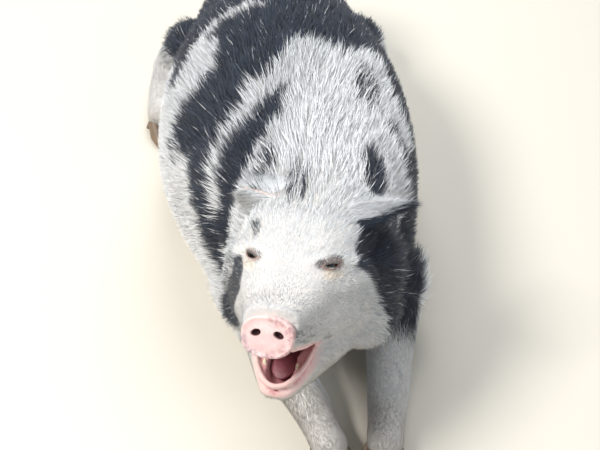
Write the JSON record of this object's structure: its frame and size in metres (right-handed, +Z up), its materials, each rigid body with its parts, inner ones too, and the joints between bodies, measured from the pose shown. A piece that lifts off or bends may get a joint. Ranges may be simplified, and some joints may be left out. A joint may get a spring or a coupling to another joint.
{
  "type": "sow",
  "caption": "Life-size still model of a fat spotted farm sow lying on her belly, forelegs stretched forward, head raised and turned to her right, mouth open.",
  "frame": {"origin": "on the floor, under the middle of the whole model's bounding box", "axes": "-Y towards the snout and forefeet, +X to her left side, +Z up; the floor is z = 0"},
  "size_m": [0.5688, 1.2384, 0.4255],
  "materials": {
    "white_coat": "coarse creamy white bristles over pink skin",
    "black_coat": "coarse black bristles with a bluish sheen",
    "pink_skin": "bare moist pink snout skin",
    "mouth_skin": "wet dark pink tongue",
    "tooth": "ivory",
    "eye": "wet dark brown",
    "hoof_horn": "worn horn"
  },
  "bodies": {
    "root": {"claw_inner_foreleg_left": "hoof_horn", "claw_inner_foreleg_right": "hoof_horn", "claw_inner_hindleg_left": "hoof_horn", "claw_inner_hindleg_right": "hoof_horn", "claw_outer_foreleg_left": "hoof_horn", "claw_outer_foreleg_right": "hoof_horn", "claw_outer_hindleg_left": "hoof_horn", "claw_outer_hindleg_right": "hoof_horn", "dewclaw_inner_foreleg_left": "hoof_horn", "dewclaw_inner_foreleg_right": "hoof_horn", "dewclaw_inner_hindleg_left": "hoof_horn", "dewclaw_inner_hindleg_right": "hoof_horn", "dewclaw_outer_foreleg_left": "hoof_horn", "dewclaw_outer_foreleg_right": "hoof_horn", "dewclaw_outer_hindleg_left": "hoof_horn", "dewclaw_outer_hindleg_right": "hoof_horn", "ear_left": "white_coat", "ear_right": "white_coat", "eye_left": "eye", "eye_right": "eye", "foreleg_left": "white_coat", "foreleg_right": "white_coat", "head": "white_coat", "hindleg_left": "white_coat", "hindleg_right": "white_coat", "neck": "white_coat", "snout": "pink_skin", "tail": "black_coat", "tongue": "mouth_skin", "tooth_left": "tooth", "tooth_right": "tooth", "torso": "black_coat"}
  },
  "joints": []
}
